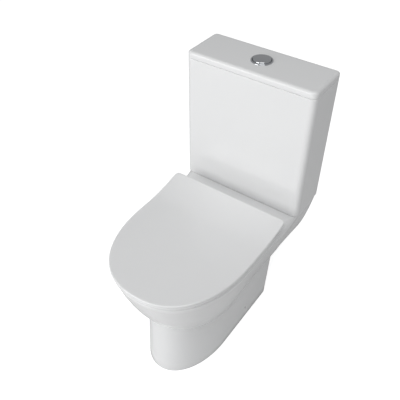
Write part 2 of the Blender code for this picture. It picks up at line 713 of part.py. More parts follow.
def seat_lid():
    """The seat lid: a slim plate, hollow below, that sweeps up to its hinges, with two lugs."""
    bottom, top = SEAT_LID_BOTTOM, SEAT_LID_TOP
    lid = loft("seat_lid", plate_rings(seat_outline(), [
        (0.0030, bottom), (0.0006, bottom + 0.0012), (0.0, bottom + 0.0030), (0.0, top - 0.0034),
        (0.0010, top - 0.0011), (0.0034, top)], sweep), SEAT_WHITE)
    cut(lid, loft("lid_hollow", plate_rings(seat_outline(), [
        (0.0090, bottom - 0.02), (0.0090, top - 0.0034), ], sweep), cutter=True))
    for side, sign in (("left", -1), ("right", 1)):
        join(lid, *knuckle(f"lid_{side}", sign, 0.0106, 0.0290, up=True))
        cut(lid, pin_bore(f"lid_bore_{side}", sign))
    return lid


def seat_ring():
    """The seat ring: a slim plate with an egg-shaped opening and two lugs on the hinge pins."""
    outline = half_outline(from_wall(PROJECTION - 0.001), SEAT_HALF - 0.001, from_wall(0.360), 2.3,
                           SEAT_REAR_HALF - 0.0015, from_wall(RING_REAR), 0.014)
    bottom, top = RING_BOTTOM, RING_TOP
    ring = loft("seat_ring", plate_rings(outline, [
        (0.0030, bottom), (0.0008, bottom + 0.0012), (0.0, bottom + 0.0030), (0.0, top - 0.0034),
        (0.0010, top - 0.0011), (0.0034, top)], level), SEAT_WHITE)
    hole = []
    for z in (bottom - 0.01, top + 0.01):
        points = []
        for i in range(19):
            turn = math.pi * i / 18
            length = 0.150 if turn < math.pi / 2 else 0.140
            along = math.copysign(abs(math.cos(turn)) ** (2 / 2.3), math.cos(turn))
            points.append((abs(math.sin(turn)) ** (2 / 2.3) * 0.112, from_wall(0.402 + along * length), z))
        points[0] = (0.0, *points[0][1:])
        points[-1] = (0.0, *points[-1][1:])
        hole.append(np.array(points))
    cut(ring, loft("seat_opening", hole, cutter=True))
    for side, sign in (("left", -1), ("right", 1)):
        x, y = sign * BOLT_X, from_wall(SEAT_BOLT_FROM_WALL)
        cut(ring, rod(f"post_notch_{side}", 0.0155, (x, y, 0.39), (x, y, 0.42), cutter=True))
        join(ring, *knuckle(f"ring_{side}", sign, -0.0290, -0.0106, up=False))
        cut(ring, pin_bore(f"ring_bore_{side}", sign))
    return ring


def knuckle(name, sign, start, end, up):
    """A round eye on the hinge axis and the web that carries it, beside one hinge post."""
    y = from_wall(HINGE_FROM_WALL)
    x0, x1 = sorted((sign * (BOLT_X + start), sign * (BOLT_X + end)))
    eye = rod(f"{name}_eye", KNUCKLE_R, (x0, y, HINGE_Z), (x1, y, HINGE_Z), cutter=True)
    if up:
        web = box(f"{name}_web", (x0, y - KNUCKLE_R, HINGE_Z),
                  (x1, y + KNUCKLE_R, HINGE_Z + 0.0125), cutter=True)
    else:
        web = sloped_web(f"{name}_web", x0, x1)
    return eye, web


def sloped_web(name, x0, x1):
    """The ring's web: up from the plate's rear edge to the eye."""
    bm = bmesh.new()
    section = [(0.240, RING_BOTTOM + 0.001), (0.240, RING_TOP - 0.0005), (0.216, HINGE_Z + 0.0015),
               (0.2045, HINGE_Z + KNUCKLE_R - 0.0003), (0.2035, HINGE_Z - KNUCKLE_R + 0.0003),
               (0.215, RING_BOTTOM + 0.003)]
    ends = [[bm.verts.new((x, from_wall(d), z)) for d, z in section] for x in (x0, x1)]
    for ring in ends:
        bm.faces.new(ring)
    count = len(section)
    for i in range(count):
        j = (i + 1) % count
        bm.faces.new((ends[0][i], ends[0][j], ends[1][j], ends[1][i]))
    return object_from(name, bm, cutter=True)


def pin_bore(name, sign):
    y = from_wall(HINGE_FROM_WALL)
    return rod(name, PIN_R + GAP, (sign * (BOLT_X - 0.04), y, HINGE_Z),
               (sign * (BOLT_X + 0.04), y, HINGE_Z), cutter=True, sides=20)


def hinges():
    """On each side: a post bolted through the pan, and the pin that the ring and lid turn on."""
    y = from_wall(HINGE_FROM_WALL)
    bolt_y = from_wall(SEAT_BOLT_FROM_WALL)
    for side, sign in (("left", -1), ("right", 1)):
        x = sign * BOLT_X
        post = turned(f"hinge_post_{side}",
                      [(0, RIM_TOP + 0.0050), (0.0120, RIM_TOP + 0.0050), (0.0130, RIM_TOP + 0.0035),
                       (0.0130, RIM_TOP + GAP), (0, RIM_TOP + GAP)], (x, bolt_y, 0), CHROME)
        join(post, box(f"post_column_{side}", (x - 0.0100, y - 0.0075, RIM_TOP + 0.002),
                       (x + 0.0100, y + 0.0055, HINGE_Z), cutter=True),
             rod(f"post_head_{side}", 0.0055, (x - 0.0102, y, HINGE_Z), (x + 0.0102, y, HINGE_Z),
                 cutter=True))
        cut(post, pin_bore(f"post_bore_{side}", sign),
            rod(f"post_thread_{side}", 0.0043, (x, bolt_y, 0.39), (x, bolt_y, 0.4080),
                cutter=True, sides=20))
        rod(f"hinge_pin_{side}", PIN_R, (x - 0.0285, y, HINGE_Z), (x + 0.0285, y, HINGE_Z),
            CHROME, sides=20)
        turned(f"seat_bolt_{side}",
               [(0, 0.4070), (0.0040, 0.4070), (0.0040, UNDERSIDE - 0.030),
                (0.0032, UNDERSIDE - 0.031), (0, UNDERSIDE - 0.031)],
               (x, bolt_y, 0), STEEL, steps=20)
        turned(f"seat_washer_{side}", ring_profile(0.0125, 0.0045, UNDERSIDE - 0.0034, UNDERSIDE - 0.0006),
               (x, bolt_y, 0), RUBBER_BLACK, steps=24, closed=True)
        nut(f"seat_nut_{side}", 0.0120, 0.0044, UNDERSIDE - 0.0150, UNDERSIDE - 0.0037,
            (x, bolt_y), VALVE_WHITE)


def buffers():
    """The soft pads: four under the ring, two under the lid."""
    spots = {"front": (0.128, 0.528), "rear": (0.158, 0.330)}
    for place_name, (half, back) in spots.items():
        for side, sign in (("left", -1), ("right", 1)):
            x, y = sign * half, from_wall(back)
            box(f"ring_buffer_{place_name}_{side}", (x - 0.0045, y - 0.011, RIM_TOP + GAP),
                (x + 0.0045, y + 0.011, RING_BOTTOM - GAP), BUFFER_GREY, upright=0.004, segments=3)
    for side, sign in (("left", -1), ("right", 1)):
        x, y = sign * 0.128, from_wall(0.500)
        box(f"lid_buffer_{side}", (x - 0.0045, y - 0.011, RING_TOP + GAP),
            (x + 0.0045, y + 0.011, SEAT_LID_TOP - 0.0037), BUFFER_GREY, upright=0.004, segments=3)


# ---------------------------------------------------------------- floor fixings

def floor_fixings():
    """On each side: a block screwed to the floor inside the pedestal, a side screw and its cap."""
    y = from_wall(FIXING_FROM_WALL)
    for side, sign in (("left", -1), ("right", 1)):
        near, far = sorted((sign * 0.056, sign * 0.0930))
        block = box(f"floor_block_{side}", (near, y - 0.020, 0.0), (far, y + 0.020, 0.064),
                    VALVE_WHITE, upright=0.004, top=0.003)
        cut(block, rod(f"block_side_hole_{side}", 0.0033, (sign * 0.04, y, FIXING_Z),
                       (sign * 0.12, y, FIXING_Z), cutter=True, sides=16))
        screw = rod(f"side_screw_{side}", 0.0030, (sign * 0.062, y, FIXING_Z),
                    (sign * 0.1020, y, FIXING_Z), STEEL, sides=16)
        join(screw, rod(f"screw_head_{side}", 0.0042, (sign * 0.0985, y, FIXING_Z),
                        (sign * 0.1022, y, FIXING_Z), cutter=True, sides=16))
        rod(f"side_cap_{side}", 0.0042, (sign * 0.1026, y, FIXING_Z),
            (sign * 0.1046, y, FIXING_Z), CHROME, sides=20)


# ---------------------------------------------------------------- all of it

pan()
cistern_body()
cistern_lid()
coupling()
flush_valve()
fill_valve()
button()
guide_bridge()
spring()
seat_ring()
seat_lid()
hinges()
buffers()
floor_fixings()
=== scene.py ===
# %% [markdown]
# # A close coupled toilet, piece by piece
# The real thing is two large castings of glazed china, a pan and a cistern, with a thin moulded
# seat, a chrome push button and a set of plastic valves that nobody sees. The solid parts are already
# made and fixed in place, so this lesson only gives them their skins: fine meshes for what shows,
# and a finish with some depth for everything.
# Distances from back to front are counted from the wall, because a plumber measures them so.

import json
import math

import bmesh
import bpy
import numpy as np
from mathutils import Matrix, Vector


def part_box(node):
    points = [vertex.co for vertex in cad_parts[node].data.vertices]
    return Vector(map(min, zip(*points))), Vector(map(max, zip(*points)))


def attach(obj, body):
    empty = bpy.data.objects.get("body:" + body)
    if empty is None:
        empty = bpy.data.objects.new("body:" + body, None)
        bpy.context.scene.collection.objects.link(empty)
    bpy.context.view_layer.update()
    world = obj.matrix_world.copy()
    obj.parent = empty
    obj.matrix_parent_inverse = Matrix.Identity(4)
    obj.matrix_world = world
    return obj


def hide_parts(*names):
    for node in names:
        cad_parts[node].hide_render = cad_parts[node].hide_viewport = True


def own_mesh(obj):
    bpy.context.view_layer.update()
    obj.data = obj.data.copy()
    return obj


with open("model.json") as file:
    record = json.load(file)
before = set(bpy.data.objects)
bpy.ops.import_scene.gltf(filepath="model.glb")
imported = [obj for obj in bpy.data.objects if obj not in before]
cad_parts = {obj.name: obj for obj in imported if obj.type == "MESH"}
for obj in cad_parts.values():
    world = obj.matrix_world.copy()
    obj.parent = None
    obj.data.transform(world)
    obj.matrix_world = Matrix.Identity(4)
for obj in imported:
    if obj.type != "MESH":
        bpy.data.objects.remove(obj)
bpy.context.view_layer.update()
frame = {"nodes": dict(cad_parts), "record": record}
wall_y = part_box("pan")[1].y
print("solid parts:", len(frame["nodes"]), "wall at y =", round(wall_y, 4))


# %% [markdown]
# ## Camera
# A product picture of a toilet is taken from above the seat, off to one side, so that the cistern's
# front, its lid and the bowl's flank all show. A mild telephoto keeps the upright edges nearly
# parallel. The three axes are written out from the angles, so that each angle can be changed alone.

# %% camera
CAMERA_AT = Vector((0.5795, -0.8521, 1.4245))
CAMERA_TURN = math.radians(35.15)
CAMERA_DIP = math.radians(42.04)
CAMERA_ROLL = math.radians(0.32)
CAMERA_LENS = 48.0

across = Vector((math.cos(CAMERA_TURN), math.sin(CAMERA_TURN), 0))
behind = Vector((math.sin(CAMERA_TURN) * math.cos(CAMERA_DIP),
                 -math.cos(CAMERA_TURN) * math.cos(CAMERA_DIP), math.sin(CAMERA_DIP)))
upwards = behind.cross(across)
tilted_across = math.cos(CAMERA_ROLL) * across + math.sin(CAMERA_ROLL) * upwards
tilted_up = math.cos(CAMERA_ROLL) * upwards - math.sin(CAMERA_ROLL) * across

camera_data = bpy.data.cameras.new("camera")
camera_data.lens = CAMERA_LENS
camera_data.sensor_width = 36.0
camera = bpy.data.objects.new("camera", camera_data)
bpy.context.scene.collection.objects.link(camera)
turned_axes = Matrix((tilted_across, tilted_up, behind)).transposed().to_4x4()
camera.matrix_world = Matrix.Translation(CAMERA_AT) @ turned_axes
bpy.context.scene.camera = camera
print("camera is", round(CAMERA_AT.length, 3), "m from the foot of the toilet")


# %% [markdown]
# ## Floor and light
# White china shows its form only by small changes of grey. A big soft light from the front left, low
# down, makes the cistern's face the brightest plane. A second one, high up, reaches the tops and the
# trough between seat and cistern, and the right flank stays darkest. A studio sweep is lit until it is
# pure white to the eye, which here would also flood the toilet from below, so floor and room are
# bright where the camera looks and calmer as light.

# %% floor
FLOOR_HALF = 12.0
floor_mesh = bpy.data.meshes.new("floor")
floor_mesh.from_pydata([(-FLOOR_HALF, -FLOOR_HALF, 0), (FLOOR_HALF, -FLOOR_HALF, 0),
                        (FLOOR_HALF, FLOOR_HALF, 0), (-FLOOR_HALF, FLOOR_HALF, 0)], [], [(0, 1, 2, 3)])
floor = bpy.data.objects.new("floor", floor_mesh)
floor.location.z = -0.0005
bpy.context.scene.collection.objects.link(floor)
floor_paint = bpy.data.materials.new("floor_paint")
floor_paint.use_nodes = True
floor_shader = floor_paint.node_tree.nodes["Principled BSDF"]
floor_shader.inputs["Base Color"].default_value = (0.80, 0.80, 0.80, 1)
floor_shader.inputs["Roughness"].default_value = 0.9
floor_shader.inputs["Specular IOR Level"].default_value = 0.1
floor_shader.inputs["Emission Color"].default_value = (1, 1, 1, 1)
floor_mesh.materials.append(floor_paint)


def seen_brighter(tree, seen, cast):
    """A strength that is one value where the camera looks and another as light."""
    path = tree.nodes.new("ShaderNodeLightPath")
    strength = tree.nodes.new("ShaderNodeMapRange")
    strength.inputs["To Min"].default_value = cast
    strength.inputs["To Max"].default_value = seen
    tree.links.new(path.outputs["Is Camera Ray"], strength.inputs["Value"])
    return strength.outputs["Result"]


FLOOR_SEEN, FLOOR_CAST = 0.72, 0.03
floor_paint.node_tree.links.new(seen_brighter(floor_paint.node_tree, FLOOR_SEEN, FLOOR_CAST),
                                floor_shader.inputs["Emission Strength"])

# %% lights
def soft_light(name, at, towards, size, power):
    """A square lamp of this size that looks at a point."""
    data = bpy.data.lights.new(name, "AREA")
    data.shape = "SQUARE"
    data.size = size
    data.energy = power
    lamp = bpy.data.objects.new(name, data)
    lamp.location = at
    lamp.rotation_euler = (Vector(at) - Vector(towards)).to_track_quat("Z", "Y").to_euler()
    bpy.context.scene.collection.objects.link(lamp)


MIDDLE = (0.0, 0.0, 0.45)
ROOM_SEEN, ROOM_CAST = 1.0, 0.31
soft_light("front_light", (-1.2, -3.1, 1.4), MIDDLE, 2.2, 55)
soft_light("high_light", (1.0, -1.3, 3.8), MIDDLE, 2.4, 44)
bpy.context.scene.world = bpy.data.worlds.new("room")
bpy.context.scene.world.use_nodes = True
room_tree = bpy.context.scene.world.node_tree
room = room_tree.nodes["Background"]
room.inputs["Color"].default_value = (0.985, 0.99, 1.0, 1)
room_tree.links.new(seen_brighter(room_tree, ROOM_SEEN, ROOM_CAST), room.inputs["Strength"])
bpy.context.scene.view_settings.view_transform = "Standard"


# %% [markdown]
# ## Shared effects
# Nothing that comes out of a kiln or a mould is perfectly even. Three small effects are used by many
# finishes, so each is a node group: a slow drift of tone, a fine grain that changes how sharp the
# gloss is, and streaks in one direction for drawn metal. Each group gives out only colours, values
# and heights, and the shader itself stays in each material.

# %% group helper
def effect_group(name, inputs, outputs):
    """An empty shader node group; inputs and outputs map a label to its kind and default."""
    group = bpy.data.node_groups.new(name, "ShaderNodeTree")
    for label, (kind, value) in inputs.items():
        group.interface.new_socket(name=label, in_out="INPUT", socket_type=kind).default_value = value
    for label, kind in outputs.items():
        group.interface.new_socket(name=label, in_out="OUTPUT", socket_type=kind)
    start = group.nodes.new("NodeGroupInput")
    end = group.nodes.new("NodeGroupOutput")
    return group, start, end


NUMBER, COLOUR, ARROW = "NodeSocketFloat", "NodeSocketColor", "NodeSocketVector"


def node(tree, kind, **settings):
    """A new node with these settings."""
    made = tree.nodes.new(kind)
    for name, value in settings.items():
        setattr(made, name, value)
    return made


def noise(tree, where, scale, detail):
    """A noise value at a place, with its scale from a socket."""
    made = node(tree, "ShaderNodeTexNoise")
    made.inputs["Detail"].default_value = detail
    tree.links.new(where, made.inputs["Vector"])
    tree.links.new(scale, made.inputs["Scale"])
    return made.outputs["Fac"]


NOISE_LOW, NOISE_HIGH = 0.3, 0.7


def spread(tree, fac, low, high):
    """Maps a noise value from its usual span to low..high, which may be sockets."""
    made = node(tree, "ShaderNodeMapRange")
    tree.links.new(fac, made.inputs["Value"])
    made.inputs["From Min"].default_value = NOISE_LOW
    made.inputs["From Max"].default_value = NOISE_HIGH
    for label, value in (("To Min", low), ("To Max", high)):
        if isinstance(value, (int, float)):
            made.inputs[label].default_value = value
        else:
            tree.links.new(value, made.inputs[label])
    return made.outputs["Result"]


# %% tone drift
tone_drift, g_in, g_out = effect_group(
    "tone_drift",
    {"Where": (ARROW, (0, 0, 0)), "Colour": (COLOUR, (1, 1, 1, 1)), "Other": (COLOUR, (0.9, 0.9, 0.9, 1)),
     "Scale": (NUMBER, 4.0)},
    {"Colour": COLOUR})
drift = noise(tone_drift, g_in.outputs["Where"], g_in.outputs["Scale"], 4.0)
mix = node(tone_drift, "ShaderNodeMix", data_type="RGBA")
tone_drift.links.new(spread(tone_drift, drift, 0.0, 1.0), mix.inputs["Factor"])
tone_drift.links.new(g_in.outputs["Colour"], mix.inputs["A"])
tone_drift.links.new(g_in.outputs["Other"], mix.inputs["B"])
tone_drift.links.new(mix.outputs["Result"], g_out.inputs["Colour"])

# %% fine grain
fine_grain, g_in, g_out = effect_group(
    "fine_grain",
    {"Where": (ARROW, (0, 0, 0)), "Scale": (NUMBER, 60.0), "Smooth": (NUMBER, 0.1), "Rough": (NUMBER, 0.2)},
    {"Roughness": NUMBER, "Height": NUMBER})
grain = noise(fine_grain, g_in.outputs["Where"], g_in.outputs["Scale"], 2.0)
fine_grain.links.new(spread(fine_grain, grain, g_in.outputs["Smooth"], g_in.outputs["Rough"]),
                     g_out.inputs["Roughness"])
fine_grain.links.new(grain, g_out.inputs["Height"])

# %% drawn streaks
drawn_streaks, g_in, g_out = effect_group(
    "drawn_streaks",
    {"Where": (ARROW, (0, 0, 0)), "Stretch": (ARROW, (1, 1, 0.05)), "Scale": (NUMBER, 900.0),
     "Smooth": (NUMBER, 0.2), "Rough": (NUMBER, 0.4)},
    {"Roughness": NUMBER, "Height": NUMBER})
stretch = node(drawn_streaks, "ShaderNodeVectorMath", operation="MULTIPLY")
drawn_streaks.links.new(g_in.outputs["Where"], stretch.inputs[0])
drawn_streaks.links.new(g_in.outputs["Stretch"], stretch.inputs[1])
streak = noise(drawn_streaks, stretch.outputs["Vector"], g_in.outputs["Scale"], 3.0)
drawn_streaks.links.new(spread(drawn_streaks, streak, g_in.outputs["Smooth"], g_in.outputs["Rough"]),
                        g_out.inputs["Roughness"])
drawn_streaks.links.new(streak, g_out.inputs["Height"])
print("effects:", [g.name for g in bpy.data.node_groups])


# %% [markdown]
# ## Finishes
# One maker builds every finish from the same three layers: a colour that drifts between two close
# tones, a gloss that varies with a grain, and the same grain as a very shallow relief. What differs
# is the size of the numbers. Glaze has wide, shallow waves and a hard gloss; moulded plastic has a
# fine grain; rubber is dark and dull; drawn metal gets its streaks in place of grain.

# %% finish maker
def finish(name, colour, other, drift_scale, gloss, grain_scale, relief, effect=fine_grain, metallic=0.0,
           coat=0.0, coat_roughness=0.03, stretched=None):
    """A Principled finish; gloss is (sharpest, dullest) roughness, relief the grain's depth in metres."""
    made = bpy.data.materials.new(name)
    made.use_nodes = True
    tree = made.node_tree
    shader = tree.nodes["Principled BSDF"]
    where = node(tree, "ShaderNodeTexCoord").outputs["Object"]
    tone = node(tree, "ShaderNodeGroup", node_tree=tone_drift)
    tone.inputs["Colour"].default_value = (*colour, 1)
    tone.inputs["Other"].default_value = (*other, 1)
    tone.inputs["Scale"].default_value = drift_scale
    surface = node(tree, "ShaderNodeGroup", node_tree=effect)
    surface.inputs["Scale"].default_value = grain_scale
    surface.inputs["Smooth"].default_value = gloss[0]
    surface.inputs["Rough"].default_value = gloss[1]
    if stretched:
        surface.inputs["Stretch"].default_value = stretched
    bump = node(tree, "ShaderNodeBump")
    bump.inputs["Distance"].default_value = relief
    bump.inputs["Strength"].default_value = 1.0
    for target in (tone, surface):
        tree.links.new(where, target.inputs["Where"])
    tree.links.new(tone.outputs["Colour"], shader.inputs["Base Color"])
    tree.links.new(surface.outputs["Roughness"], shader.inputs["Roughness"])
    tree.links.new(surface.outputs["Height"], bump.inputs["Height"])
    tree.links.new(bump.outputs["Normal"], shader.inputs["Normal"])
    shader.inputs["Metallic"].default_value = metallic
    shader.inputs["Specular IOR Level"].default_value = 0.5
    shader.inputs["Coat Weight"].default_value = coat
    shader.inputs["Coat Roughness"].default_value = coat_roughness
    return made


# %% the finishes
FINISHES = {
    "china_glaze": finish("glazed_china", (0.875, 0.879, 0.880), (0.866, 0.872, 0.875), 3.0,
                          (0.12, 0.18), 14.0, 0.00010, coat=0.25, coat_roughness=0.08),
    "seat_white": finish("seat_moulding", (0.872, 0.876, 0.877), (0.866, 0.871, 0.873), 5.0,
                         (0.20, 0.23), 45.0, 0.00002),
    "chrome": finish("polished_chrome", (0.70, 0.71, 0.73), (0.64, 0.66, 0.68), 30.0,
                     (0.05, 0.11), 120.0, 0.000006, metallic=1.0),
    "valve_white": finish("valve_moulding", (0.72, 0.73, 0.70), (0.66, 0.67, 0.64), 18.0,
                          (0.38, 0.50), 500.0, 0.00004),
    "valve_blue": finish("blue_moulding", (0.035, 0.13, 0.36), (0.045, 0.16, 0.40), 22.0,
                         (0.36, 0.48), 500.0, 0.00004),
    "rubber_black": finish("black_rubber", (0.018, 0.018, 0.019), (0.032, 0.032, 0.033), 60.0,
                           (0.62, 0.80), 700.0, 0.00006),
    "buffer_grey": finish("soft_buffer", (0.52, 0.53, 0.54), (0.45, 0.46, 0.47), 70.0,
                          (0.40, 0.55), 600.0, 0.00003),
    "steel": finish("plated_steel", (0.50, 0.50, 0.49), (0.42, 0.42, 0.42), 40.0, (0.22, 0.42), 900.0,
                    0.00002, effect=drawn_streaks, metallic=1.0, stretched=(1, 1, 0.05)),
    "brass": finish("turned_brass", (0.62, 0.44, 0.17), (0.50, 0.34, 0.13), 60.0, (0.25, 0.45), 900.0,
                    0.00002, effect=drawn_streaks, metallic=1.0, stretched=(0.2, 0.2, 1)),
}
print("finishes:", len(FINISHES))


# %% [markdown]
# ## Ways of making a mesh
# Almost everything here is a loft: a stack of outlines, joined ring to ring, as a potter's template
# is turned round a mould. Only the right half of each outline is written, from the nose on the middle
# line round to the back, and the left half mirrors it, so the piece is exactly symmetrical. Holes
# are cut afterwards with solid cutters, which leaves crisp mouths, like holes punched in soft clay.

# %% outlines
def out(distance):
    """y of a plane this far in front of the wall."""
    return wall_y - distance


def eased(share):
    """A share from 0 to 1 that starts and ends gently."""
    share = np.clip(share, 0, 1)
    return share * share * (3 - 2 * share)


def half_outline(nose, half, widest, power, rear_half, rear, corner, points=(30, 16, 6, 8)):
    """Right half of a plan outline: a rounded nose, a nearly straight side, a corner, a flat back."""
    made = []
    for i in range(points[0]):
        turn = math.pi / 2 * i / points[0]
        made.append((half * math.sin(turn) ** (2 / power),
                     widest - (widest - nose) * math.cos(turn) ** (2 / power)))
    for i in range(points[1]):
        share = i / points[1]
        made.append((half + (rear_half - half) * eased(share), widest + (rear - corner - widest) * share))
    for i in range(points[2]):
        turn = math.pi / 2 * i / points[2]
        made.append((rear_half - corner + corner * math.cos(turn), rear - corner + corner * math.sin(turn)))
    for i in range(points[3] + 1):
        made.append(((rear_half - corner) * (1 - i / points[3]), rear))
    return np.array(made)


def inset(points, distance):
    """A half outline moved inwards in plan, by one distance or by one for each point."""
    before = np.vstack([points[1] * [-1, 1], points[:-1]])
    after = np.vstack([points[1:], points[-2] * [-1, 1]])
    along = after - before
    along /= np.linalg.norm(along, axis=1)[:, None]
    moved = points + np.reshape(distance, (-1, 1)) * np.column_stack([-along[:, 1], along[:, 0]])
    moved[0, 0] = moved[-1, 0] = 0.0
    return moved


def at_height(outline, z):
    """A half ring: the outline with one height, or with a height for each point."""
    return np.column_stack([outline, np.broadcast_to(z, len(outline))])


# %% lofts
def finished(obj, sharp=38):
    """Smooth shading with crisp edges where faces meet at more than this angle."""
    obj.data.shade_smooth()
    obj.data.set_sharp_from_angle(angle=math.radians(sharp))
    return obj


def object_from(name, bm):
    """The mesh as a shaded object in the scene."""
    mesh = bpy.data.meshes.new(name)
    bmesh.ops.recalc_face_normals(bm, faces=bm.faces)
    bm.to_mesh(mesh)
    bm.free()
    obj = bpy.data.objects.new(name, mesh)
    bpy.context.scene.collection.objects.link(obj)
    return finished(obj)


def lofted(name, half_rings, ring_shaped=False):
    """Joins half rings and their mirror images; the ends are capped, or joined for a ring shape."""
    bm = bmesh.new()
    loops = []
    for half in half_rings:
        whole = np.vstack([half, half[-2:0:-1] * [-1, 1, 1]])
        loops.append([bm.verts.new(point) for point in whole])
    pairs = list(zip(loops[:-1], loops[1:]))
    if ring_shaped:
        pairs.append((loops[-1], loops[0]))
    for low, high in pairs:
        for i in range(len(low)):
            j = (i + 1) % len(low)
            bm.faces.new((low[i], low[j], high[j], high[i]))
    if not ring_shaped:
        bm.faces.new(loops[0])
        bm.faces.new(loops[-1])
    return object_from(name, bm)


def turned(name, profile, at, steps=96):
    """A turned piece about an upright axis; a profile that starts and ends on the axis is solid."""
    bm = bmesh.new()
    rows = []
    for i in range(steps):
        turn = 2 * math.pi * i / steps
        rows.append([bm.verts.new((at[0] + r * math.cos(turn), at[1] + r * math.sin(turn), z))
                     for r, z in profile])
    count = len(profile)
    solid = profile[0][0] == 0
    for i in range(steps):
        one, two = rows[i], rows[(i + 1) % steps]
        for k in range(count - 1 if solid else count):
            bm.faces.new((one[k], two[k], two[(k + 1) % count], one[(k + 1) % count]))
    bmesh.ops.remove_doubles(bm, verts=bm.verts, dist=1e-6)
    return object_from(name, bm)


def rounded(profile, times=2):
    """Cuts the corners of an open profile again and again, keeping its two ends."""
    points = np.array(profile)
    for _ in range(times):
        near = points[:-1] * 0.75 + points[1:] * 0.25
        far = points[:-1] * 0.25 + points[1:] * 0.75
        middle = np.empty((2 * len(near), 2))
        middle[0::2], middle[1::2] = near, far
        points = np.vstack([points[0], middle[1:-1], points[-1]])
    return [tuple(p) for p in points]


# %% cutters
def bar(radius, start, end, sides=64):
    """A round bar between two points."""
    start, end = Vector(start), Vector(end)
    along = end - start
    bm = bmesh.new()
    bmesh.ops.create_cone(bm, cap_ends=True, segments=sides, radius1=radius, radius2=radius,
                          depth=along.length)
    spin = along.to_track_quat("Z", "Y").to_matrix().to_4x4()
    bmesh.ops.transform(bm, matrix=Matrix.Translation((start + end) / 2) @ spin, verts=bm.verts)
    return object_from("bar", bm)


def block(low, high):
    """A box between two opposite corners."""
    low, high = Vector(low), Vector(high)
    bm = bmesh.new()
    bmesh.ops.create_cube(bm, size=1.0)
    bmesh.ops.scale(bm, vec=high - low, verts=bm.verts)
    bmesh.ops.translate(bm, vec=(low + high) / 2, verts=bm.verts)
    return object_from("block", bm)


def pipe(route, radius, sides=40):
    """A round pipe in the middle plane, along points (distance from the wall, height)."""
    centre = np.array([(out(back), z) for back, z in route])
    along = np.gradient(centre, axis=0)
    along /= np.linalg.norm(along, axis=1)[:, None]
    bm = bmesh.new()
    rings = []
    for (y, z), (dy, dz) in zip(centre, along):
        ring = []
        for i in range(sides):
            turn = 2 * math.pi * i / sides
            lift = radius * math.sin(turn)
            ring.append(bm.verts.new((radius * math.cos(turn), y - dz * lift, z + dy * lift)))
        rings.append(ring)
    for one, two in zip(rings[:-1], rings[1:]):
        for i in range(sides):
            j = (i + 1) % sides
            bm.faces.new((one[i], one[j], two[j], two[i]))
    bm.faces.new(rings[0])
    bm.faces.new(rings[-1])
    return object_from("pipe", bm)


def worked(piece, others, operation="DIFFERENCE"):
    """Cuts the others out of a piece, or joins them to it, and throws them away."""
    for other in others:
        step = piece.modifiers.new("work", "BOOLEAN")
        step.operation = operation
        step.object = other
        step.solver = "EXACT"
    bpy.context.view_layer.update()
    made = bpy.data.meshes.new_from_object(piece.evaluated_get(bpy.context.evaluated_depsgraph_get()))
    piece.modifiers.clear()
    piece.data = made
    for other in others:
        bpy.data.objects.remove(other)
    return finished(piece)


def fitted(piece, body, slot, *nodes):
    """Gives a piece its finish, its body and the solids that it stands for."""
    piece.data.materials.clear()
    piece.data.materials.append(FINISHES[slot])
    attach(piece, body)
    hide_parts(*nodes)
    print(piece.name, "has", len(piece.data.polygons), "faces")
    return piece


# %% [markdown]
# ## The pan
# The pan is slip cast: liquid clay stands in a plaster mould until a wall about 12 mm thick has set
# on it. Its outside is a pedestal that leans in as it rises, then a skirt that swells out to the rim.
# The loft goes up the outside, over the rounded rim, across the flat top and down into the bowl as one
# run of rings, so the glaze flows over the rim without a seam.

# %% pan measures
RIM_TOP = 0.3945
SHELF_TOP = 0.3990
RIM_ROUND = 0.007
LEDGE_ROUND = 0.010
WALL = 0.012
BOWL_FROM_WALL = 0.400
BOWL_DEPTH = 0.296
BOWL_FRONT, BOWL_BACK, BOWL_HALF = 0.173, 0.174, 0.1455
BOWL_DRIFT = 0.062
BOWL_NARROWS_FRONT = 0.10
BOWL_NARROWS_SIDES = 0.25
BOWL_SHORTENS_BACK = 0.22
LIP_ROUND = 0.006
UNDERCUT = 0.0060
FOOT_EDGE = 0.0022
FLUSH = 0.068
BOLT_X = 0.0775
INLET_X = -0.125
SEAT_BOLT = 0.205
SPIGOT_Z = 0.185
FIXING = (0.234, 0.042)
PAN_POINTS = (30, 16, 6, 8)


def pan_form(wall):
    """The rim's outline, the crease, how the skirt swells, and pedestal(z), all moved in by wall."""
    low = half_outline(out(0.5356), 0.1084, out(0.355), 2.05, 0.1084, out(0.1054), 0.012, PAN_POINTS)
    high = half_outline(out(0.603), 0.1755, out(0.360), 2.3, 0.183, out(0.0), 0.020, PAN_POINTS)
    index = np.arange(len(low))
    to_side = eased(index / PAN_POINTS[0])
    to_back = np.clip((index - PAN_POINTS[0]) / PAN_POINTS[1], 0, 1)
    crease = 0.220 - 0.038 * to_side + 0.072 * to_back + wall
    sideways = 0.59 - 0.048 * to_side - 0.309 * to_back ** 1.6
    swell = np.column_stack([sideways, sideways + 0.22 * eased(2 * to_back - 1)])
    fillet = (0.03 + 0.06 * to_side + 0.05 * to_back)[:, None]
    nose = np.clip((out(0.355) - low[:, 1]) / 0.1806, 0, 1)
    back = np.clip((low[:, 1] - out(0.25)) / 0.1446, 0, 1)

    def pedestal(z):
        ring = low.copy()
        ring[:, 0] *= 1 - 0.0229 * z / 0.1084
        ring[:, 1] += nose * 0.067 * z + back * 0.176 * z
        return inset(ring, wall) if wall else ring

    def swollen(share):
        """How far the skirt has swelled out at this share of its height, with a fillet at its foot."""
        return share ** swell * eased(share / fillet)

    return (inset(high, wall) if wall else high), crease, swollen, pedestal


def china_top(y):
    """Height of the top: level under the seat, then a soft step up to the cistern's shelf."""
    return RIM_TOP + (SHELF_TOP - RIM_TOP) * eased((y - out(0.194)) / 0.034)


def edge_round(y):
    """Rounding of the top edge: tight under the seat and the cistern, fuller on the ledge between."""
    return RIM_ROUND + LEDGE_ROUND * eased((y - out(0.225)) / 0.045) * eased((out(0.128) - y) / 0.022)


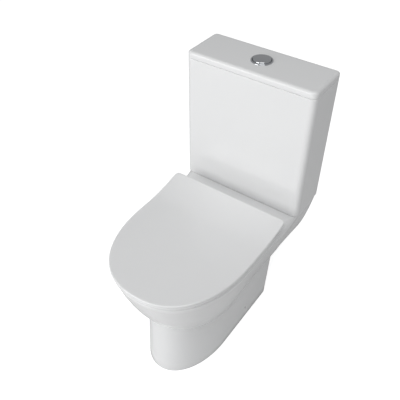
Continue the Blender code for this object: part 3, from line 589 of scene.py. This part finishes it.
# %% pan outside
def pan_outside(pedestal_rings=7, skirt_rings=30):
    """The outer skin: a small edge at the floor, the pedestal, the skirt and the rounded rim."""
    high, crease, swollen, pedestal = pan_form(0.0)
    foot_line = pedestal(0.0)
    rings = [at_height(inset(foot_line, FOOT_EDGE), 0.0), at_height(inset(foot_line, 0.0007), 0.0007)]
    for k in range(pedestal_rings):
        z = FOOT_EDGE + (crease - FOOT_EDGE) * k / pedestal_rings
        rings.append(at_height(pedestal(z), z))
    foot = pedestal(crease)
    round_off = edge_round(high[:, 1])
    top = china_top(high[:, 1]) - round_off
    for k in range(skirt_rings + 1):
        share = (k / skirt_rings) ** 2
        rings.append(at_height(foot + (high - foot) * swollen(share), crease + (top - crease) * share))
    for turn in np.radians([15, 30, 45, 60, 75, 90]):
        edge = inset(high, round_off * (1 - math.cos(turn)))
        rings.append(at_height(edge, china_top(edge[:, 1]) - round_off * (1 - math.sin(turn))))
    return rings


# %% bowl
def polar(angle, front, back, half, power=2.3):
    """Radius of an egg at an angle from its nose."""
    length = np.where(np.cos(angle) > 0, front, back)
    return (np.abs(np.sin(angle) / half) ** power + np.abs(np.cos(angle) / length) ** power) ** (-1 / power)


def egg(angle, centre, front, back, half, z, grow=0.0):
    """A half ring in the shape of an egg, its points at the given angles from the nose."""
    radius = polar(angle, front, back, half) + grow
    ring = np.column_stack([radius * np.sin(angle), out(centre) - radius * np.cos(angle)])
    ring[0, 0] = ring[-1, 0] = 0.0
    return at_height(ring, z)


def bowl_ring(angle, depth, grow=0.0, z=None):
    """One ring of the bowl's inside at this share of its depth."""
    shrink = (1 - depth ** 2.4) ** 0.5 * 0.74 + 0.26
    narrowing = eased((depth - 0.25) / 0.5)
    front = BOWL_FRONT * shrink * (1 - BOWL_NARROWS_FRONT * narrowing)
    back = BOWL_BACK * shrink * (1 - BOWL_SHORTENS_BACK * depth)
    half = BOWL_HALF * shrink * (1 - BOWL_NARROWS_SIDES * narrowing)
    if z is None:
        z = RIM_TOP - BOWL_DEPTH * depth
    return egg(angle, BOWL_FROM_WALL - BOWL_DRIFT * depth, front, back, half, z, grow)


def bowl_inside(angle):
    """Over the lip, down a short rim band, out under it, and down to the sump."""
    rings = []
    for turn in np.radians([90, 70, 50, 30, 10]):
        grow = LIP_ROUND * (1 - math.cos(turn)) - 0.003
        rings.append(bowl_ring(angle, 0.0, grow, RIM_TOP - LIP_ROUND * (1 - math.sin(turn))))
    rings.append(bowl_ring(angle, 0.05, -0.0025, RIM_TOP - 0.030))
    for grow, drop in ((-0.0010, 0.0335), (0.0020, 0.0355), (0.0048, 0.0385), (UNDERCUT, 0.0430)):
        rings.append(bowl_ring(angle, 0.10, grow, RIM_TOP - drop))
    for depth in np.linspace(0.20, 0.96, 20):
        rings.append(bowl_ring(angle, depth, UNDERCUT * (1 - eased((depth - 0.2) / 0.5))))
    for depth, shrunk in ((0.985, -0.004), (0.997, -0.010), (1.0, -0.018)):
        rings.append(bowl_ring(angle, depth, shrunk))
    return rings


# %% pan in one run of rings
outside = pan_outside()
last = outside[-1]
angle = np.arctan2(last[:, 0], out(BOWL_FROM_WALL) - last[:, 1])
angle[0], angle[-1] = 0.0, math.pi
inside = bowl_inside(angle)
TOP_RINGS = 30
across_top = []
for k in range(1, TOP_RINGS):
    flat = last[:, :2] + (inside[0][:, :2] - last[:, :2]) * k / TOP_RINGS
    across_top.append(at_height(flat, china_top(flat[:, 1])))
china_pan = lofted("china_pan", outside + across_top + inside)
print("pan loft:", len(china_pan.data.vertices), "points")


# %% [markdown]
# From below and behind a pan is a shell: the bowl hangs in it, and the trapway runs from the sump up
# over a weir and back down to the spigot. The space between is a second, smaller loft of the same
# form, with the bowl, trapway and water passages left standing in it.

# %% trapway
def trap_route(step=5):
    """Points along the trapway's middle: level, up at 62 degrees, over the weir, level again."""
    back, z, heading = 0.352, 0.118, 0.0
    points = [(back, z)]
    for run, radius, turn in ((0.045, 0.060, 62), (0.0416, 0.050, -100), (0.009, 0.055, 38)):
        back -= run * math.cos(heading)
        z += run * math.sin(heading)
        points.append((back, z))
        pieces = round(abs(turn) / step)
        for _ in range(pieces):
            bend = math.radians(turn) / pieces
            chord = 2 * radius * math.sin(abs(bend) / 2)
            back -= chord * math.cos(heading + bend / 2)
            z += chord * math.sin(heading + bend / 2)
            heading += bend
            points.append((back, z))
    return points


# %% hollow
HOLLOW_FROM = -0.01


def pan_hollow(pedestal_rings=4, skirt_rings=12):
    """The outer form again, a wall's thickness in, and run out past the back to leave it open."""
    high, crease, swollen, pedestal = pan_form(WALL)
    ceiling = RIM_TOP - 0.020
    rings = []
    for k in range(pedestal_rings):
        z = HOLLOW_FROM + (crease - HOLLOW_FROM) * k / pedestal_rings
        rings.append(at_height(pedestal(z), z))
    foot = pedestal(crease)
    for k in range(skirt_rings + 1):
        share = (k / skirt_rings) ** 1.3
        skirt = foot + (high - foot) * swollen(0.94 * share)
        rings.append(at_height(skirt, crease + (ceiling - crease) * share))
    corner = PAN_POINTS[0] + PAN_POINTS[1]
    rings = np.array(rings)
    rings[:, corner:, 1] = out(-0.03)
    rings = rings[:, [*range(corner + 1), -1]]
    return lofted("hollow", rings)


half_turn = np.linspace(0, math.pi, 33)
shell = []
for depth in np.linspace(0, 1, 16):
    z = RIM_TOP - 0.006 - (BOWL_DEPTH + WALL - 0.006) * depth
    shell.append(bowl_ring(half_turn, depth, WALL + 0.004 * (depth < 0.5), z))
bowl_outside = lofted("bowl_outside", shell)
hollow = pan_hollow()
standing = [
    bowl_outside,
    pipe(trap_route(), 0.0345),
    bar(0.051, (0, out(0.150), SPIGOT_Z), (0, out(0.075), SPIGOT_Z)),
    bar(0.054, (0, out(FLUSH), 0.315), (0, out(FLUSH), 0.385)),
    bar(0.036, (0, out(FLUSH), 0.348), (0, out(0.262), 0.348)),
    block((-0.16, out(0.62), 0.312), (0.16, out(0.452), 0.40)),
]
worked(hollow, standing)
worked(china_pan, [hollow])

# %% passages and holes
passages = [
    pipe(trap_route(), 0.0265),
    bar(0.040, (0, out(0.140), SPIGOT_Z), (0, out(0.055), SPIGOT_Z)),
    bar(0.048, (0, out(FLUSH), 0.3665), (0, out(FLUSH), 0.42)),
    bar(0.030, (0, out(FLUSH), 0.330), (0, out(FLUSH), 0.37)),
    bar(0.0235, (0, out(FLUSH - 0.01), 0.348), (0, out(0.250), 0.348)),
    block((INLET_X - 0.021, out(0.094), 0.33), (INLET_X + 0.021, out(-0.02), 0.42)),
]
for side in (-1, 1):
    passages += [
        bar(0.0058, (side * BOLT_X, out(FLUSH), 0.33), (side * BOLT_X, out(FLUSH), 0.42), 32),
        bar(0.0070, (side * BOLT_X, out(SEAT_BOLT), 0.35), (side * BOLT_X, out(SEAT_BOLT), 0.42), 32),
        bar(0.0045, (side * 0.08, out(FIXING[0]), FIXING[1]), (side * 0.13, out(FIXING[0]), FIXING[1]), 32),
    ]
worked(china_pan, passages)
fitted(china_pan, "pan_and_cistern", "china_glaze", "pan")


# %% [markdown]
# ## The cistern and its lid
# Both are plain slabs with softened edges. A flat face with one big polygon beside a small rounding
# shades badly, because the smooth shading bleeds into the flat, so each rounding has a narrow strip
# next to it that keeps the flat face flat. The lid has a lip below that drops inside the tank.

# %% slab outlines
def slab_half(half, front, back, front_round, back_round, steps=8, guard=0.003):
    """Right half of a rounded rectangle, with narrow guard strips beside its corners."""
    points = [(0, front), (half * 0.5, front), (half - front_round - guard, front)]
    for i in range(steps + 1):
        turn = math.pi / 2 * i / steps
        points.append((half - front_round + front_round * math.sin(turn),
                       front + front_round * (1 - math.cos(turn))))
    points.append((half, front + front_round + guard))
    points.append((half, (front + back) / 2))
    points.append((half, back - back_round - guard))
    for i in range(steps + 1):
        turn = math.pi / 2 * i / steps
        points.append((half - back_round * (1 - math.cos(turn)),
                       back - back_round + back_round * math.sin(turn)))
    points += [(half - back_round - guard, back), (half * 0.5, back), (0, back)]
    return np.array(points)


CISTERN_LOW, CISTERN_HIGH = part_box("cistern_body")
LID_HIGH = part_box("cistern_lid")[1]
FRONT_CORNER, BACK_CORNER, LEAST_CORNER = 0.015, 0.012, 0.004


def slab_ring(inwards, z, lean=0.0):
    """A half ring of the slab, moved in on all sides; lean moves only its front back."""
    outline = slab_half(CISTERN_HIGH.x - inwards, CISTERN_LOW.y + inwards + lean, CISTERN_HIGH.y - inwards,
                        max(FRONT_CORNER - inwards, LEAST_CORNER), max(BACK_CORNER - inwards, LEAST_CORNER))
    return at_height(outline, z)


def rounding(radius, tall, z, upwards, steps):
    """Rings of a rounded edge, from the side round to the flat; upwards is 1 or -1."""
    rings = []
    for turn in np.radians(np.linspace(0, 90, steps + 1)):
        rings.append(slab_ring(radius * (1 - math.cos(turn)), z + upwards * tall * math.sin(turn)))
    return rings


# %% cistern
FOOT_ROUND = 0.0016
LEAN_IN, LEAN_TALL = 0.0008, 0.019
TANK_EDGE = 0.0018
TANK_WALL = 0.009


def cistern():
    """An open tank: a nearly square foot, a front that leans in at the bottom, a rounded mouth."""
    low, high = CISTERN_LOW.z, CISTERN_HIGH.z
    rings = [slab_ring(FOOT_ROUND + 0.004, low, lean=LEAN_IN)]
    for turn in np.radians(np.linspace(90, 0, 7)):
        rise = FOOT_ROUND * (1 - math.sin(turn))
        lean = LEAN_IN * (1 - rise / LEAN_TALL) ** 2
        rings.append(slab_ring(FOOT_ROUND * (1 - math.cos(turn)), low + rise, lean=lean))
    for rise in np.linspace(FOOT_ROUND, LEAN_TALL, 8)[1:]:
        rings.append(slab_ring(0, low + rise, lean=LEAN_IN * (1 - rise / LEAN_TALL) ** 2))
    for z in (low + LEAN_TALL + 0.004, (low + high) / 2, high - 0.005):
        rings.append(slab_ring(0, z))
    rings += rounding(TANK_EDGE, TANK_EDGE, high - TANK_EDGE, 1, 4)
    for turn in np.radians([90, 60, 30, 0]):
        rings.append(slab_ring(TANK_WALL - TANK_EDGE * (1 - math.cos(turn)),
                               high - TANK_EDGE * (1 - math.sin(turn))))
    rings += [slab_ring(TANK_WALL, high - 0.006), slab_ring(TANK_WALL, low + 0.020)]
    for inwards, rise in ((0.0012, 0.0125), (0.0050, 0.0102), (0.0100, 0.0100)):
        rings.append(slab_ring(TANK_WALL + inwards, low + rise))
    body = lofted("cistern_china", rings)
    holes = [bar(0.0310, (0, out(FLUSH), 0.39), (0, out(FLUSH), 0.42)),
             bar(0.0112, (INLET_X, out(FLUSH), 0.39), (INLET_X, out(FLUSH), 0.42), 40)]
    holes += [bar(0.0058, (side * BOLT_X, out(FLUSH), 0.39), (side * BOLT_X, out(FLUSH), 0.42), 32)
              for side in (-1, 1)]
    return worked(body, holes)


fitted(cistern(), "pan_and_cistern", "china_glaze", "cistern_body")


# %% cistern lid
LID_GAP = 0.0008
LID_UNDER_EDGE = 0.0010
LID_TOP_ROUND, LID_TOP_TALL = 0.009, 0.0065


def lid_slab():
    """A slab with a soft top edge and, below, a lip all round that drops inside the tank."""
    top = LID_HIGH.z
    under = CISTERN_HIGH.z + LID_GAP
    lip, web = 0.0115, 0.0185
    places = [(web + 0.003, top - 0.009), (web + 0.0006, top - 0.0094), (web, top - 0.011),
              (web, under - 0.0075), (web - 0.0006, under - 0.008), (lip + 0.0006, under - 0.008),
              (lip, under - 0.0074), (lip, under - 0.0006), (lip - 0.0006, under), (0.0030, under),
              (0.0010, under)]
    rings = [slab_ring(inwards, z) for inwards, z in places]
    rings += rounding(LID_UNDER_EDGE, LID_UNDER_EDGE, under + LID_UNDER_EDGE, -1, 3)[::-1][1:]
    rings.append(slab_ring(0, under + 0.004))
    rings += rounding(LID_TOP_ROUND, LID_TOP_TALL, top - LID_TOP_TALL, 1, 9)
    rings.append(slab_ring(0.012, top))
    slab = lofted("cistern_lid_china", rings)
    return worked(slab, [bar(0.0260, (0, out(FLUSH), 0.77), (0, out(FLUSH), 0.80), 96)])


fitted(lid_slab(), "lift_off_lid", "china_glaze", "cistern_lid")


# %% [markdown]
# ## The button
# The button is a shallow chrome dome in a raised ring. Chrome shows nothing but what it reflects, so
# its shape is all in the profile: the corners of a coarse profile are cut twice, and the result is
# turned in many steps.

# %% button and bezel
flush_at = (0, out(FLUSH))
lid_top = LID_HIGH.z
dome = rounded([(0, lid_top + 0.0066), (0.0150, lid_top + 0.0064), (0.0212, lid_top + 0.0058),
                (0.0232, lid_top + 0.0044), (0.0237, lid_top + 0.0015), (0.0237, lid_top - 0.0128)], 3)
under_dome = [(0.0235, lid_top - 0.0130), (0.0222, lid_top - 0.0130), (0.0222, lid_top + 0.0010),
              (0.0045, lid_top + 0.0030), (0.0045, lid_top - 0.0120), (0, lid_top - 0.0120)]
fitted(turned("button_dome", dome + under_dome, flush_at), "button", "chrome", "flush_button")
crest = rounded([(0.0242, lid_top - 0.0010), (0.0243, lid_top + 0.0016), (0.0252, lid_top + 0.0029),
                 (0.0264, lid_top + 0.0031), (0.0280, lid_top + 0.0026), (0.0290, lid_top + 0.0012),
                 (0.0291, lid_top + 0.0003)], 3)
sleeve = [(0.0257, lid_top + 0.0003), (0.0257, lid_top - 0.0300), (0.0242, lid_top - 0.0300)]
fitted(turned("button_ring", crest + sleeve, flush_at), "lift_off_lid", "chrome", "button_bezel")

# %% return spring
SPRING_R, SPRING_WIRE, SPRING_TURNS = 0.0100, 0.0007, 4
spring_low, spring_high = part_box("button_spring")
spring_foot = spring_low.z + SPRING_WIRE
spring_top = spring_high.z - SPRING_WIRE


def coil_spring(steps=40):
    """A round wire along a helix, from the guide in the bezel up to the button."""
    wire = bpy.data.curves.new("return_spring", "CURVE")
    wire.dimensions = "3D"
    wire.bevel_depth = SPRING_WIRE
    wire.bevel_resolution = 4
    wire.use_fill_caps = True
    path = wire.splines.new("POLY")
    path.points.add(SPRING_TURNS * steps)
    for i, point in enumerate(path.points):
        turn = 2 * math.pi * i / steps
        rise = (spring_top - spring_foot) * i / (SPRING_TURNS * steps)
        y = out(FLUSH) + SPRING_R * math.sin(turn)
        point.co = (SPRING_R * math.cos(turn), y, spring_foot + rise, 1)
    drawn = bpy.data.objects.new("wire", wire)
    bpy.context.scene.collection.objects.link(drawn)
    bpy.context.view_layer.update()
    bm = bmesh.new()
    seen = drawn.evaluated_get(bpy.context.evaluated_depsgraph_get())
    bm.from_mesh(bpy.data.meshes.new_from_object(seen))
    bpy.data.objects.remove(drawn)
    bmesh.ops.remove_doubles(bm, verts=bm.verts, dist=1e-5)
    return object_from("return_spring", bm)


spring = fitted(coil_spring(), "lift_off_lid", "steel", "button_spring")
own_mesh(spring)


# %% [markdown]
# ## The seat
# Ring and lid are thin thermoset mouldings, made in a hot press. The lid is a plate 8 mm thick with a
# soft edge, hollow below, that sweeps up behind the bowl to cover its own hinges. The height of
# every point is the plate's own height plus a lift that depends only on how far back it is. The ring
# is the same plate with an egg-shaped opening, and its top falls a little towards the opening.

# %% seat measures
SEAT_NOSE = wall_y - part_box("seat_lid")[0].y
RING_BOTTOM, RING_TOP = 0.3977, 0.4072
LID_BOTTOM, LID_TOP = 0.4082, 0.4162
HINGE_BACK, HINGE_Z = 0.2025, 0.4165
SEAT_CENTRE = np.array([0.0, out(0.402)])
SEAT_POINTS = (32, 18, 6, 8)
LID_UNDER_ROUND, LID_EDGE = 0.0030, 0.0034
LID_SKIN = 0.0034
RING_UNDER_ROUND, RING_EDGE, RING_EDGE_TALL = 0.0030, 0.0038, 0.0036
RING_FALL, MOUTH_ROUND = 0.0010, 0.0042
LUG_R, PIN_R = 0.0052, 0.0028


def sweep(y):
    """How far the lid has risen at this y on its way up to the hinges."""
    return 0.018 * np.clip((y - out(0.310)) / 0.117, 0, 1.2) ** 1.6


def plate_ring(outline, inwards, z, lift):
    """A half ring of a seat plate, moved in from its outline and lifted by how far back it is."""
    edge = inset(outline, inwards)
    return at_height(edge, z + lift(edge[:, 1]))


def shrunk_ring(outline, share, z, lift):
    """The outline drawn in towards the seat's middle."""
    inner = outline + (SEAT_CENTRE - outline) * share
    return at_height(inner, z + lift(inner[:, 1]))


# %% hinge lugs
def lugs(start, end, up):
    """The round eyes on the hinge axis and the webs that carry them, beside the posts."""
    made = []
    for side in (-1, 1):
        x0, x1 = sorted((side * (BOLT_X + start), side * (BOLT_X + end)))
        y, r = out(HINGE_BACK), LUG_R
        made.append(bar(r, (x0, y, HINGE_Z), (x1, y, HINGE_Z), 40))
        if up:
            made.append(block((x0, y - r, HINGE_Z), (x1, y + r, HINGE_Z + 0.0125)))
            continue
        section = [(0.240, 0.3987), (0.240, 0.4067), (0.216, 0.4180), (0.2045, 0.4214), (0.2035, 0.4116),
                   (0.215, 0.4007)]
        bm = bmesh.new()
        ends = [[bm.verts.new((x, out(d), z)) for d, z in section] for x in (x0, x1)]
        for ring in ends:
            bm.faces.new(ring)
        for i in range(len(section)):
            j = (i + 1) % len(section)
            bm.faces.new((ends[0][i], ends[0][j], ends[1][j], ends[1][i]))
        made.append(object_from("web", bm))
    return made


def pin_bores():
    """Cutters for the two hinge pins."""
    return [bar(PIN_R, (side * (BOLT_X - 0.04), out(HINGE_BACK), HINGE_Z),
                (side * (BOLT_X + 0.04), out(HINGE_BACK), HINGE_Z), 32) for side in (-1, 1)]


# %% seat lid
def seat_lid():
    """The lid as a thin shell, hollow below, with its hinge eyes joined on."""
    outline = half_outline(out(SEAT_NOSE), 0.1795, out(0.360), 2.3, 0.1812, out(0.193), 0.012, SEAT_POINTS)
    shares = np.linspace(0.90, 0.10, 13)
    ceiling = LID_TOP - LID_SKIN
    rings = [shrunk_ring(inset(outline, 0.009), share, ceiling, sweep) for share in shares]
    for inwards, z in ((0.0105, ceiling), (0.0090, ceiling - 0.0012), (0.0088, LID_BOTTOM + 0.0006),
                       (0.0080, LID_BOTTOM), (0.0034, LID_BOTTOM)):
        rings.append(plate_ring(outline, inwards, z, sweep))
    for turn in np.radians([72, 54, 36, 18, 0]):
        z = LID_BOTTOM + LID_UNDER_ROUND * (1 - math.sin(turn))
        rings.append(plate_ring(outline, LID_UNDER_ROUND * (1 - math.cos(turn)), z, sweep))
    for turn in np.radians([0, 15, 30, 45, 60, 75, 90]):
        z = LID_TOP - LID_EDGE * (1 - math.sin(turn))
        rings.append(plate_ring(outline, LID_EDGE * (1 - math.cos(turn)), z, sweep))
    rings.append(plate_ring(outline, 0.0060, LID_TOP, sweep))
    rings += [shrunk_ring(inset(outline, 0.009), share, LID_TOP, sweep) for share in shares[::-1]]
    lid = lofted("seat_lid_shell", rings)
    worked(lid, lugs(0.0106, 0.0290, True), "UNION")
    return worked(lid, pin_bores())


fitted(seat_lid(), "lid", "seat_white", "seat_lid")


# %% seat ring
def seat_ring():
    """The ring, round its section from the underside over the edge and the top into the opening."""
    outline = half_outline(out(SEAT_NOSE - 0.0022), 0.1773, out(0.360), 2.3, 0.1787, out(0.201), 0.014,
                           SEAT_POINTS)
    offset = outline - SEAT_CENTRE
    angle = np.arctan2(offset[:, 0], -offset[:, 1])
    angle[0], angle[-1] = 0.0, math.pi

    def opening(grow, z):
        return egg(angle, 0.402, 0.150, 0.140, 0.112, z, grow)

    def flat(y):
        return 0 * y

    rings = [plate_ring(outline, RING_UNDER_ROUND, RING_BOTTOM, flat)]
    for turn in np.radians([60, 30, 0]):
        z = RING_BOTTOM + RING_UNDER_ROUND * (1 - math.sin(turn))
        rings.append(plate_ring(outline, RING_UNDER_ROUND * (1 - math.cos(turn)), z, flat))
    for turn in np.radians([0, 15, 30, 45, 60, 75, 90]):
        z = RING_TOP - RING_EDGE_TALL * (1 - math.sin(turn))
        rings.append(plate_ring(outline, RING_EDGE * (1 - math.cos(turn)), z, flat))
    edge = plate_ring(outline, 0.0060, RING_TOP, flat)
    mouth = opening(0.0045, RING_TOP - RING_FALL)
    for share in (0.0, 0.12, 0.3, 0.5, 0.7, 0.88, 0.96):
        ring = edge + (mouth - edge) * share
        ring[:, 2] = RING_TOP - RING_FALL * eased(share)
        rings.append(ring)
    for turn in np.radians([90, 70, 50, 30, 10]):
        z = RING_TOP - RING_FALL - MOUTH_ROUND * (1 - math.sin(turn))
        rings.append(opening(MOUTH_ROUND * (1 - math.cos(turn)), z))
    for grow, rise in ((0.0, 0.0022), (0.0007, 0.0007), (0.0022, 0.0)):
        rings.append(opening(grow, RING_BOTTOM + rise))
    ring = lofted("seat_ring_plate", rings, ring_shaped=True)
    worked(ring, [bar(0.0155, (side * BOLT_X, out(SEAT_BOLT), 0.39), (side * BOLT_X, out(SEAT_BOLT), 0.42))
                  for side in (-1, 1)])
    worked(ring, lugs(-0.0290, -0.0106, False), "UNION")
    return worked(ring, pin_bores())


fitted(seat_ring(), "ring", "seat_white", "seat_ring")


# %% [markdown]
# ## The small parts
# The valves, bolts, washers, hinge posts and buffers already have their true shapes, so they keep
# their solids and get only a finish. A solid comes as loose triangles. Welding them and splitting
# again only at sharp corners lets the round ones shade as round.

# %% small parts
WELD_WITHIN = 0.00001
SPLIT_ABOVE = math.radians(32)
SLOT_OF = {part["node"]: part["material_slot"] for part in frame["record"]["subparts"]}
dressed = 0
for name, solid in frame["nodes"].items():
    if solid.hide_render:
        continue
    solid.data.materials.clear()
    solid.data.materials.append(FINISHES[SLOT_OF[name]])
    solid.data.shade_smooth()
    weld = solid.modifiers.new("weld", "WELD")
    weld.merge_threshold = WELD_WITHIN
    split = solid.modifiers.new("corners", "EDGE_SPLIT")
    split.split_angle = SPLIT_ABOVE
    dressed += 1
print("small parts dressed:", dressed)
